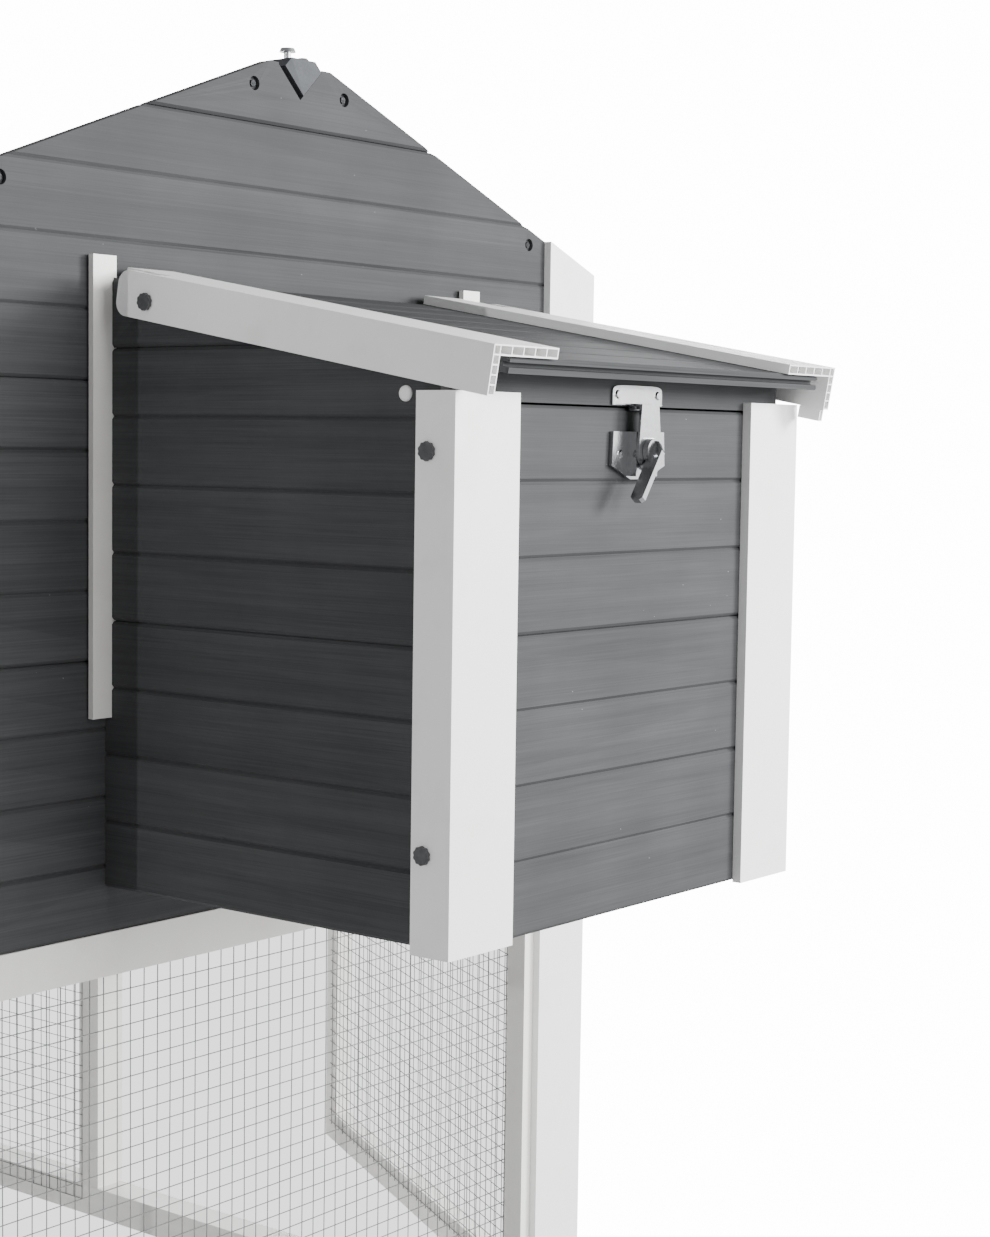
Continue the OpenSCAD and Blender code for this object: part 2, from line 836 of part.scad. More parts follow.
// Arched plate on the lid skirt with the middle knuckle and the pin of the strap hinge
module latch_plate() {
    color(steel) place() {
        translate([0, face_y - fit, 0]) rotate([90, 0, 0]) linear_extrude(2)
            polygon(concat([[-latch_w / 2, skirt_z[0] + 1], [latch_w / 2, skirt_z[0] + 1]],
                [for (k = [0 : 12]) let (a = 15 * k)
                    [latch_w / 2 * pow(abs(cos(a)), 0.35) * sign(cos(a)),
                        skirt_z[0] + 12 + 8 * pow(sin(a), 0.5)]]));
        for (x = [-34, 34]) translate([x, face_y - 2, skirt_z[0] + 11]) rotate([90, 0, 0])
            cylinder(h = 2, r1 = 4.5, r2 = 3);
        translate([-16.5, knuckle_y, knuckle_z]) rotate([0, 90, 0]) cylinder(h = 33, r = 1.8);
        translate([-6, knuckle_y, knuckle_z]) rotate([0, 90, 0]) cylinder(h = 12, r = 3.6);
        bar([-6, 6], [knuckle_y, face_y - fit], [knuckle_z - 1, knuckle_z + 3.6]);
    }
}

// Strap: knuckle, step outwards, widening arm and a round end about the spindle
module latch_strap() {
    arm_t = 3;
    color(steel) place() difference() {
        union() {
            for (x = [-16.2, 6.3]) {
                translate([x, knuckle_y, knuckle_z]) rotate([0, 90, 0]) cylinder(h = 9.9, r = 3.6);
                bar([x + 1.7, x + 8.2], [strap_face, knuckle_y], [knuckle_z - 1.5, knuckle_z + 3]);
            }
            translate([0, strap_face + arm_t, 0]) rotate([90, 0, 0]) linear_extrude(arm_t) {
                polygon([[-14.5, knuckle_z + 3], [14.5, knuckle_z + 3], [19, spindle_z], [-19, spindle_z]]);
                translate([0, spindle_z]) circle(r = 19);
            }
        }
        translate([-17, knuckle_y, knuckle_z]) rotate([0, 90, 0]) cylinder(h = 34, r = 1.86);
        translate([0, face_y + 1, spindle_z]) rotate([90, 0, 0]) cylinder(h = 40, r = spindle_r + 0.06);
    }
}

// Turn lever: spindle with a locking disc, round knob and a blade that stands out to one side
module latch_lever() {
    tilt = 35;
    blade = [6, 58, 14];
    color(steel) place() translate([0, strap_face, spindle_z]) rotate([90, 0, 0]) {
        translate([0, 0, -9]) cylinder(h = 10, r = spindle_r);
        translate([0, 0, -9]) cylinder(h = 5, r = 8);
        translate([0, 0, fit]) difference() {
            cylinder(h = 6, r = 13);
            translate([0, 0, 4.5]) cylinder(h = 2, r = 10.5);
        }
        rotate([0, 0, -tilt]) translate([-blade[0] / 2, 0, 1.5]) rotate([90, 0, 90])
            linear_extrude(blade[0]) polygon([[10.4, 0], [10.4, 6], [0, blade[2]],
                [-blade[1] + 3, blade[2]], [-blade[1], blade[2] - 3], [-blade[1], 3], [-blade[1] + 3, 0]]);
    }
}

// Keeper on the front panel: flat plate with chamfered lower corners and a raised box
module latch_keeper() {
    k = latch_w / 2 + 3;
    z = [nest_z + 425, nest_z + 471];
    box = 18;
    color(steel) place() {
        difference() {
            union() {
                translate([0, face_y - fit, 0]) rotate([90, 0, 0]) linear_extrude(4.5)
                    polygon([[-k, z[0] + 13], [4 - box, z[0]], [box - 4, z[0]], [k, z[0] + 13],
                        [k - 2, z[1]], [-k + 2, z[1]]]);
                bar([-box, box], [face_y - 14.4, face_y - 4], [z[0] + 3, z[1]]);
            }
            translate([0, face_y + 1, spindle_z]) rotate([90, 0, 0]) cylinder(h = 20, r = 12);
        }
        for (x = [-31, 31]) translate([x, face_y - 4.5, nest_z + 449]) rotate([90, 0, 0])
            cylinder(h = 2, r1 = 4.5, r2 = 3);
    }
}

// ---------- fasteners ----------

// Scalloped caps over the screws in the side legs of the nest posts and the corner posts
module post_caps() {
    color(black) place() mirrored() {
        for (z = [90, 450]) translate([half_n + trim_t + fit, -428, nest_z + z])
            rotate([0, 90, 0]) star_cap(8.5, 3);
        for (y = [12, len_y - 12], z = [200, 640, 1100, 1370]) translate([half_w + fit, y, z])
            rotate([0, 90, 0]) star_cap(8.5, 3);
    }
}

// Screws near the apex and near the eaves of both gables
module gable_screws() {
    color(black) place() mirrored() for (s = gable_spots) {
        translate([s[0], cup - fit, s[1]]) rotate([90, 0, 0]) cylinder(h = 3, r = 3.6);
        translate([s[0], len_y - cup + fit + 3, s[1]]) rotate([90, 0, 0]) cylinder(h = 3, r = 3.6);
    }
}

// One screw of the ridge block stands proud on its shank, the others are driven home
module ridge_screws() {
    top = beam_mid + 10 + fit;
    color(steel) place() {
        translate([-8, 12, top]) {
            cylinder(h = 8, r = 4);
            translate([0, 0, 7]) cylinder(h = 4, r1 = 9, r2 = 7.5);
        }
        for (s = [[16, 12], [16, len_y - 12], [-8, len_y - 12]])
            translate([s[0], s[1], top]) cylinder(h = 3.5, r1 = 8, r2 = 5);
    }
}

front_left_post();
front_right_post();
rear_posts();
mid_posts();
front_run_frame();
front_run_mesh();
left_lower_frame();
left_lower_mesh();
door_surround();
left_run_frame();
left_run_mesh();
right_run_frame();
right_run_mesh();
rear_run_frame();
rear_run_mesh();
run_door_frame();
run_door_mesh();
door_hinge_leaves();
door_hinge_pins();
door_bolt();
door_bolt_guides();
bolt_keeper();
front_gable_boards();
rear_gable_boards();
left_house_wall();
right_house_wall();
partition_boards();
house_floor();
pop_door();
pop_door_guides();
ramp();
ramp_hinge();
house_perch();
droppings_tray();
ridge_block();
ridge_beam();
eave_rails();
roof_panel_left();
roof_panel_right();
ridge_cap();
nest_left_side();
nest_right_side();
nest_front();
nest_floor();
nest_divider();
nest_left_post();
nest_right_post();
nest_battens();
lid_panel();
lid_left_rail();
lid_right_rail();
lid_skirt();
lid_pivots();
latch_plate();
latch_strap();
latch_lever();
latch_keeper();
post_caps();
gable_screws();
ridge_screws();
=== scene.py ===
"""Chicken coop with a wire run: finishes, welded mesh, small fittings, light and camera.

Sizes are in metres unless a name ends in _mm. Every piece takes its place from the frame's own boxes.
"""

import logging
import math
import random
from dataclasses import dataclass, field
from enum import Enum
from typing import Any, Optional, Sequence

import bmesh
import bpy
from mathutils import Matrix, Vector


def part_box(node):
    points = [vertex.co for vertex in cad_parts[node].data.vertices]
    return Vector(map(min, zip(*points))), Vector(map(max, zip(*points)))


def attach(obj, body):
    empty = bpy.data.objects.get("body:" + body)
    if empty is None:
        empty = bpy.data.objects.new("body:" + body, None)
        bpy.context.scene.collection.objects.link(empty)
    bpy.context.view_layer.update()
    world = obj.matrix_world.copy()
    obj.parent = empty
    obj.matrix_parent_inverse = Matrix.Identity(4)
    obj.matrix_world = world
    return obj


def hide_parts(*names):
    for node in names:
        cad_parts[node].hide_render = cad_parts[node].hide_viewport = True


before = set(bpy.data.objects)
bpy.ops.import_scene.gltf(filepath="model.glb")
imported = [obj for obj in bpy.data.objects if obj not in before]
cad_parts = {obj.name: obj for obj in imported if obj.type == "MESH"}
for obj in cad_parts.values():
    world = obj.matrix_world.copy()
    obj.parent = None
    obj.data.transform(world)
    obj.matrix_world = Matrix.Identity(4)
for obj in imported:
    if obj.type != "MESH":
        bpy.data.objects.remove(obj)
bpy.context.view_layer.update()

log = logging.getLogger("coop")
# a direction that no wire runs in, to start a ring from
SKEW = Vector((0.31, 0.59, 0.75))
MM = 0.001
SMOOTH_LIMIT = math.radians(35)
BEVEL_LIMIT = math.radians(40)


# ---------------------------------------------------------------- shared helpers

class Axis(Enum):
    """Direction that a board or trim runs in."""

    X = 0
    Y = 1
    Z = 2


def linear(hex_colour: str) -> tuple[float, float, float, float]:
    """Turns an sRGB hex colour into the linear RGBA that shaders take.

    Args:
        hex_colour: Six hex digits, with or without a leading #.

    Returns:
        Linear red, green, blue and an alpha of 1.
    """
    digits = hex_colour.lstrip("#")
    channels = [int(digits[i:i + 2], 16) / 255 for i in (0, 2, 4)]
    red, green, blue = [c / 12.92 if c <= 0.04045 else ((c + 0.055) / 1.055) ** 2.4 for c in channels]
    return red, green, blue, 1.0


def add_node(tree: bpy.types.NodeTree, kind: str, inputs: Optional[dict[Any, Any]] = None,
             **settings: Any) -> bpy.types.Node:
    """Adds one shader node, sets its properties and fills or links its inputs.

    Args:
        tree: Node tree that takes the node.
        kind: Blender's name for the node type.
        inputs: Input name or number to a value, or to an output socket that is linked to it.
        **settings: Properties of the node itself.

    Returns:
        The new node.
    """
    node = tree.nodes.new(kind)
    for name, value in settings.items():
        setattr(node, name, value)
    for key, value in (inputs or {}).items():
        if isinstance(value, bpy.types.NodeSocket):
            tree.links.new(value, node.inputs[key])
        else:
            node.inputs[key].default_value = value
    return node


def span(value: bpy.types.NodeSocket, start: float, stop: float, low: float,
         high: float) -> dict[str, Any]:
    """Inputs of a map range from start..stop to low..high.

    Args:
        value: Socket that is mapped.
        start: Value that becomes low.
        stop: Value that becomes high.
        low: Result at start.
        high: Result at stop.

    Returns:
        Names of inputs with their values.
    """
    return {"Value": value, "From Min": start, "From Max": stop, "To Min": low, "To Max": high}


def cad(node: str) -> bpy.types.Object:
    """The Blender object of a CAD node."""
    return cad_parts[node]


def mesh_object(name: str, bm: bmesh.types.BMesh, material: bpy.types.Material) -> bpy.types.Object:
    """Makes a scene object from a bmesh, which is freed, and shades it smooth up to SMOOTH_LIMIT.

    Args:
        name: Name of the object and its mesh.
        bm: Finished geometry in the frame's coordinates.
        material: Its only material.

    Returns:
        The new object, linked to the scene.
    """
    bmesh.ops.recalc_face_normals(bm, faces=bm.faces)
    mesh = bpy.data.meshes.new(name)
    bm.to_mesh(mesh)
    bm.free()
    mesh.materials.append(material)
    mesh.shade_smooth()
    mesh.set_sharp_from_angle(angle=SMOOTH_LIMIT)
    piece = bpy.data.objects.new(name, mesh)
    bpy.context.scene.collection.objects.link(piece)
    return piece


def add_turned(bm: bmesh.types.BMesh, centre: Vector, axis: Vector,
               outline: Sequence[tuple[float, float]], sides: int = 32) -> None:
    """Adds a solid of revolution to a bmesh.

    Args:
        bm: Mesh that takes it.
        centre: Point on the axis where the height is 0.
        axis: Direction of growing height.
        outline: Radius and height of each ring; a radius of 0 closes the end.
        sides: Number of facets round the axis.
    """
    up = axis.normalized()
    across = up.orthogonal().normalized()
    other = up.cross(across)
    previous: list[bmesh.types.BMVert] = []
    for radius, height in outline:
        middle = centre + up * height
        if radius == 0:
            ring = [bm.verts.new(middle)]
        else:
            turns = [2 * math.pi * i / sides for i in range(sides)]
            ring = [bm.verts.new(middle + radius * (math.cos(t) * across + math.sin(t) * other))
                    for t in turns]
        if previous:
            for i in range(sides):
                j = (i + 1) % sides
                if len(previous) == 1:
                    bm.faces.new((previous[0], ring[i], ring[j]))
                elif len(ring) == 1:
                    bm.faces.new((previous[i], previous[j], ring[0]))
                else:
                    bm.faces.new((previous[i], previous[j], ring[j], ring[i]))
        previous = ring


# ---------------------------------------------------------------- finishes

@dataclass(frozen=True)
class Finish:
    """A finish that is made once as a material and then shared."""

    name: str

    def material(self) -> bpy.types.Material:
        """The material, made on first use."""
        found = bpy.data.materials.get(self.name)
        if found:
            return found
        made = bpy.data.materials.new(self.name)
        made.use_nodes = True
        tree = made.node_tree
        tree.nodes.clear()
        shader = add_node(tree, "ShaderNodeBsdfPrincipled")
        add_node(tree, "ShaderNodeOutputMaterial", {"Surface": shader.outputs[0]})
        self.dress(tree, shader)
        return made

    def dress(self, tree: bpy.types.NodeTree, shader: bpy.types.Node) -> None:
        """Fills in the shader; each finish has its own.

        Args:
            tree: Node tree of the material.
            shader: Its surface shader.
        """
        raise NotImplementedError

    def grain(self, tree: bpy.types.NodeTree, size_mm: Sequence[float]) -> dict[str, Any]:
        """Makes the coordinates of a pattern with a real size.

        Args:
            tree: Node tree that takes the nodes.
            size_mm: Size of a cell along X, Y and Z of the object.

        Returns:
            Inputs of the pattern's node.
        """
        where = add_node(tree, "ShaderNodeTexCoord")
        scale = [1 / (size * MM) for size in size_mm]
        mapping = add_node(tree, "ShaderNodeMapping",
                           {"Vector": where.outputs["Object"], "Scale": scale})
        return {"Vector": mapping.outputs[0], "Scale": 1.0}

    def relief(self, tree: bpy.types.NodeTree, shader: bpy.types.Node, height: bpy.types.NodeSocket,
               depth_mm: float, strength: float) -> None:
        """Raises the surface in its normal only.

        Args:
            tree: Node tree that takes the node.
            shader: Shader whose normal is set.
            height: Pattern from 0 to 1.
            depth_mm: Height of the relief where the pattern is 1.
            strength: Share of the relief that is used.
        """
        bump = add_node(tree, "ShaderNodeBump",
                        {"Height": height, "Distance": depth_mm * MM, "Strength": strength})
        tree.links.new(bump.outputs[0], shader.inputs["Normal"])


@dataclass(frozen=True)
class CompositeBoard(Finish):
    """Wood-plastic composite, extruded and brushed along its length: satin grey, drawn streaks."""

    along: Axis = Axis.X
    dark: str = "#3D3E3F"
    light: str = "#494A4B"
    fleck: str = "#8E8F8F"
    specular: float = 0.05
    brush_mm: tuple[float, float] = (150, 1.3)
    band_mm: tuple[float, float] = (420, 15)
    cloud_mm: float = 120
    fleck_cell_mm: tuple[float, float] = (17, 11)
    fleck_radius: float = 0.045
    fleck_rarity: float = 0.86
    fleck_strength: float = 0.6
    relief_mm: float = 0.12

    def sizes(self, length_mm: float, across_mm: float) -> list[float]:
        """Works out the grain of streaks that run along the board.

        Args:
            length_mm: Length of a streak.
            across_mm: Width of a streak.

        Returns:
            Size along X, Y and Z.
        """
        out = [across_mm] * 3
        out[self.along.value] = length_mm
        return out

    def dress(self, tree: bpy.types.NodeTree, shader: bpy.types.Node) -> None:
        """Drawn streaks, slow shade changes, a shade for each board, and pale flecks.

        Args:
            tree: Node tree of the material.
            shader: Its surface shader.
        """
        # brush lines, drawn coarser than the real ones so that they show
        fine = add_node(tree, "ShaderNodeTexNoise", {
            **self.grain(tree, self.sizes(*self.brush_mm)), "Detail": 4.0, "Roughness": 0.6}).outputs[0]
        # bands left by the extruder
        broad = add_node(tree, "ShaderNodeTexNoise", {
            **self.grain(tree, self.sizes(*self.band_mm)), "Detail": 2.0, "Roughness": 0.55}).outputs[0]
        # handling marks
        clouds = add_node(tree, "ShaderNodeTexNoise", {
            **self.grain(tree, (self.cloud_mm,) * 3), "Detail": 3.0, "Roughness": 0.55}).outputs[0]
        tone = add_node(tree, "ShaderNodeMath", {0: fine, 1: 0.55}, operation="MULTIPLY").outputs[0]
        tone = add_node(tree, "ShaderNodeMath", {0: broad, 1: 0.45, 2: tone},
                        operation="MULTIPLY_ADD").outputs[0]
        mix = add_node(tree, "ShaderNodeMapRange", span(tone, 0.36, 0.64, 0.0, 1.0)).outputs[0]
        colour = add_node(tree, "ShaderNodeMix", {0: mix, 6: linear(self.dark), 7: linear(self.light)},
                          data_type="RGBA").outputs[2]
        piece = add_node(tree, "ShaderNodeNewGeometry").outputs["Random Per Island"]
        shade = add_node(tree, "ShaderNodeMapRange", span(piece, 0.0, 1.0, 0.92, 1.08)).outputs[0]
        cloud = add_node(tree, "ShaderNodeMapRange", span(clouds, 0.3, 0.7, 0.93, 1.08)).outputs[0]
        shade = add_node(tree, "ShaderNodeMath", {0: shade, 1: cloud}, operation="MULTIPLY").outputs[0]
        colour = add_node(tree, "ShaderNodeMix", {0: 1.0, 6: colour, 7: shade},
                          data_type="RGBA", blend_type="MULTIPLY").outputs[2]
        # wood flecks in the plastic: small ellipses in a few of the cells
        cells = add_node(tree, "ShaderNodeTexVoronoi", self.grain(tree, self.sizes(*self.fleck_cell_mm)))
        near = add_node(tree, "ShaderNodeMath", {0: cells.outputs["Distance"], 1: self.fleck_radius},
                        operation="LESS_THAN").outputs[0]
        pick = add_node(tree, "ShaderNodeSeparateColor", {0: cells.outputs["Color"]}).outputs[0]
        rare = add_node(tree, "ShaderNodeMath", {0: pick, 1: self.fleck_rarity},
                        operation="GREATER_THAN").outputs[0]
        fleck = add_node(tree, "ShaderNodeMath", {0: near, 1: rare}, operation="MULTIPLY").outputs[0]
        fleck = add_node(tree, "ShaderNodeMath", {0: fleck, 1: self.fleck_strength},
                         operation="MULTIPLY").outputs[0]
        colour = add_node(tree, "ShaderNodeMix", {0: fleck, 6: colour, 7: linear(self.fleck)},
                          data_type="RGBA").outputs[2]
        tree.links.new(colour, shader.inputs["Base Color"])
        gloss = add_node(tree, "ShaderNodeMapRange", span(tone, 0.36, 0.64, 0.5, 0.66)).outputs[0]
        tree.links.new(gloss, shader.inputs["Roughness"])
        shader.inputs["Specular IOR Level"].default_value = self.specular
        self.relief(tree, shader, fine, self.relief_mm, 0.35)


@dataclass(frozen=True)
class MouldedWhite(Finish):
    """PVC trim, extruded: satin, with faint die lines along it and a little grime."""

    along: Axis = Axis.Z
    base: str = "#F3F3F2"
    grime: str = "#E4E3DF"
    rough: float = 0.36
    ior: float = 1.53
    line_mm: tuple[float, float] = (260, 2.2)
    patch_mm: float = 60
    relief_mm: float = 0.05

    def dress(self, tree: bpy.types.NodeTree, shader: bpy.types.Node) -> None:
        """Die lines in the normal, soft grime in the colour and uneven gloss.

        Args:
            tree: Node tree of the material.
            shader: Its surface shader.
        """
        length, width = self.line_mm
        across = [width] * 3
        across[self.along.value] = length
        lines = add_node(tree, "ShaderNodeTexNoise", {
            **self.grain(tree, across), "Detail": 2.0, "Roughness": 0.55}).outputs[0]
        patches = add_node(tree, "ShaderNodeTexNoise", {
            **self.grain(tree, (self.patch_mm,) * 3), "Detail": 4.0, "Roughness": 0.6}).outputs[0]
        dirt = add_node(tree, "ShaderNodeMapRange", span(patches, 0.5, 0.78, 0.0, 0.5)).outputs[0]
        colour = add_node(tree, "ShaderNodeMix", {0: dirt, 6: linear(self.base), 7: linear(self.grime)},
                          data_type="RGBA").outputs[2]
        tree.links.new(colour, shader.inputs["Base Color"])
        gloss = add_node(tree, "ShaderNodeMapRange",
                         span(patches, 0.3, 0.7, self.rough, self.rough + 0.12)).outputs[0]
        tree.links.new(gloss, shader.inputs["Roughness"])
        shader.inputs["IOR"].default_value = self.ior
        self.relief(tree, shader, lines, self.relief_mm, 0.3)


@dataclass(frozen=True)
class Metal(Finish):
    """Bare or plated metal with a fine mottle in its gloss."""

    base: str = "#C9CBCC"
    tint: str = "#B4B6B8"
    rough: float = 0.3
    uneven: float = 0.1
    grain_mm: float = 3.0
    depth_mm: float = 0.02

    def dress(self, tree: bpy.types.NodeTree, shader: bpy.types.Node) -> None:
        """Mottled colour and gloss.

        Args:
            tree: Node tree of the material.
            shader: Its surface shader.
        """
        mottle = add_node(tree, "ShaderNodeTexNoise", {
            **self.grain(tree, (self.grain_mm,) * 3), "Detail": 4.0, "Roughness": 0.55}).outputs[0]
        mix = add_node(tree, "ShaderNodeMapRange", span(mottle, 0.3, 0.7, 0.0, 1.0)).outputs[0]
        colour = add_node(tree, "ShaderNodeMix", {0: mix, 6: linear(self.base), 7: linear(self.tint)},
                          data_type="RGBA").outputs[2]
        tree.links.new(colour, shader.inputs["Base Color"])
        gloss = add_node(tree, "ShaderNodeMapRange",
                         span(mottle, 0.3, 0.7, self.rough, self.rough + self.uneven)).outputs[0]
        tree.links.new(gloss, shader.inputs["Roughness"])
        shader.inputs["Metallic"].default_value = 1.0
        self.relief(tree, shader, mottle, self.depth_mm, 0.25)


@dataclass(frozen=True)
class DarkNylon(Finish):
    """Nylon, injection moulded: nearly black, with a fine spark texture."""

    base: str = "#4A4B4D"
    low: str = "#393A3C"
    rough: float = 0.48

    def dress(self, tree: bpy.types.NodeTree, shader: bpy.types.Node) -> None:
        """Spark texture in the normal and a slow change of shade.

        Args:
            tree: Node tree of the material.
            shader: Its surface shader.
        """
        spark = add_node(tree, "ShaderNodeTexNoise", {
            **self.grain(tree, (0.9, 0.9, 0.9)), "Detail": 2.0, "Roughness": 0.55}).outputs[0]
        slow = add_node(tree, "ShaderNodeTexNoise", {
            **self.grain(tree, (6, 6, 6)), "Detail": 2.0, "Roughness": 0.55}).outputs[0]
        mix = add_node(tree, "ShaderNodeMapRange", span(slow, 0.3, 0.7, 0.0, 1.0)).outputs[0]
        colour = add_node(tree, "ShaderNodeMix", {0: mix, 6: linear(self.base), 7: linear(self.low)},
                          data_type="RGBA").outputs[2]
        tree.links.new(colour, shader.inputs["Base Color"])
        shader.inputs["Roughness"].default_value = self.rough
        self.relief(tree, shader, spark, 0.06, 0.4)


@dataclass(frozen=True)
class PlanedPine(Finish):
    """Pine, planed: pale with slow growth rings and fine fibres along the bar."""

    early: str = "#C79F6B"
    late: str = "#9F7443"
    pore: str = "#7F5A33"
    rough: float = 0.62

    def dress(self, tree: bpy.types.NodeTree, shader: bpy.types.Node) -> None:
        """Growth rings with fibres over them.

        Args:
            tree: Node tree of the material.
            shader: Its surface shader.
        """
        rings = add_node(tree, "ShaderNodeTexWave", {
            **self.grain(tree, (900, 26, 26)), "Distortion": 3.0, "Detail": 2.0},
            wave_type="RINGS").outputs[1]
        fibre = add_node(tree, "ShaderNodeTexNoise", {
            **self.grain(tree, (60, 0.9, 0.9)), "Detail": 3.0, "Roughness": 0.55}).outputs[0]
        colour = add_node(tree, "ShaderNodeMix", {0: rings, 6: linear(self.early), 7: linear(self.late)},
                          data_type="RGBA").outputs[2]
        lines = add_node(tree, "ShaderNodeMapRange", span(fibre, 0.3, 0.7, 0.0, 0.35)).outputs[0]
        colour = add_node(tree, "ShaderNodeMix", {0: lines, 6: colour, 7: linear(self.pore)},
                          data_type="RGBA").outputs[2]
        tree.links.new(colour, shader.inputs["Base Color"])
        shader.inputs["Roughness"].default_value = self.rough
        self.relief(tree, shader, fibre, 0.15, 0.4)


BOARD_X = CompositeBoard("extruded_composite_board_x", Axis.X)
BOARD_Y = CompositeBoard("extruded_composite_board_y", Axis.Y)
BEAM = CompositeBoard("extruded_composite_beam", Axis.Y, "#434548", "#545659")
TRIM_Z = MouldedWhite("extruded_pvc_trim_upright", Axis.Z)
TRIM_Y = MouldedWhite("extruded_pvc_trim_lengthwise", Axis.Y)
FRAME_WHITE = MouldedWhite("extruded_pvc_run_frame", Axis.Z, "#E9E8E4", "#D6D3CB", 0.42)
SHEET_WHITE = MouldedWhite("pressed_pvc_sheet", Axis.X, "#DFDFDC", "#CBCAC4", 0.5)
WIRE = Metal("galvanised_steel_wire", "#8A8B8A", "#707170", 0.42, 0.16, 2.0, 0.04)
ZINC = Metal("zinc_plated_steel", "#BFC1C2", "#A2A5A7", 0.3, 0.14, 4.0, 0.03)
CHROME = Metal("polished_chromed_steel", "#B4B5B6", "#A6A7A9", 0.13, 0.08, 5.0, 0.01)
BLACKENED = Metal("blackened_steel", "#242526", "#18191A", 0.4, 0.12, 2.0, 0.02)
NYLON = DarkNylon("moulded_dark_nylon")
PINE = PlanedPine("planed_pine")


# ---------------------------------------------------------------- CAD nodes that keep their shape

@dataclass
class Casework:
    """Dresses the CAD nodes that stay: a finish for each, and softened edges."""

    boards_x: tuple[str, ...] = ("front_gable_boards", "rear_gable_boards", "partition_boards", "nest_front",
                                 "lid_panel", "lid_skirt", "ramp")
    boards_y: tuple[str, ...] = ("left_house_wall", "right_house_wall", "nest_left_side", "nest_right_side",
                                 "roof_panel_left", "roof_panel_right")
    trims_z: tuple[str, ...] = ("front_left_post", "front_right_post", "rear_posts", "nest_left_post",
                                "nest_right_post")
    frames: tuple[str, ...] = ("mid_posts", "front_run_frame", "left_lower_frame", "door_surround",
                               "left_run_frame", "right_run_frame", "rear_run_frame", "run_door_frame",
                               "eave_rails", "nest_battens")
    sheets: tuple[str, ...] = ("house_floor", "pop_door", "nest_floor", "nest_divider")
    metals: tuple[str, ...] = ("door_hinge_leaves", "door_hinge_pins", "door_bolt", "door_bolt_guides",
                               "bolt_keeper", "pop_door_guides", "ramp_hinge", "droppings_tray",
                               "ridge_screws")
    chromes: tuple[str, ...] = ("latch_plate", "latch_strap", "latch_lever", "latch_keeper")
    rails: tuple[str, ...] = ("lid_left_rail", "lid_right_rail")
    nylons: tuple[str, ...] = ("lid_pivots", "post_caps")
    beams: tuple[str, ...] = ("ridge_block", "ridge_beam", "ridge_cap")
    bevel_board_mm: float = 0.7
    bevel_frame_mm: float = 1.6
    bevel_trim_mm: float = 0.5
    bevel_fitting_mm: float = 0.35
    bevel_chrome_mm: float = 0.8

    def build(self) -> None:
        """Gives every node its finish and edge radius."""
        groups = (
            (self.boards_x, BOARD_X, self.bevel_board_mm), (self.boards_y, BOARD_Y, self.bevel_board_mm),
            (self.trims_z, TRIM_Z, self.bevel_trim_mm), (self.rails, TRIM_Y, self.bevel_trim_mm),
            (self.frames, FRAME_WHITE, self.bevel_frame_mm), (self.sheets, SHEET_WHITE, self.bevel_board_mm),
            (self.metals, ZINC, self.bevel_fitting_mm), (self.chromes, CHROME, self.bevel_chrome_mm),
            (self.nylons, NYLON, self.bevel_fitting_mm), (self.beams, BEAM, self.bevel_board_mm),
            (("house_perch",), PINE, self.bevel_frame_mm),
            (("gable_screws",), BLACKENED, self.bevel_fitting_mm),
        )
        for nodes, finish, edge_mm in groups:
            for node in nodes:
                self.dress(node, finish, edge_mm)
            log.info("%s: %d nodes", finish.name, len(nodes))

    def dress(self, node: str, finish: Finish, edge_mm: float) -> None:
        """Puts one finish and one edge radius on a CAD node.

        Args:
            node: Name of the node.
            finish: Its finish.
            edge_mm: Radius of its rounded edges.
        """
        piece = cad(node)
        piece.material_slots[0].material = finish.material()
        bevel = piece.modifiers.new("edges", "BEVEL")
        bevel.width = edge_mm * MM
        bevel.segments = 2
        bevel.limit_method = "ANGLE"
        bevel.angle_limit = BEVEL_LIMIT
        bevel.use_clamp_overlap = True
        bevel.harden_normals = True


# ---------------------------------------------------------------- welded mesh

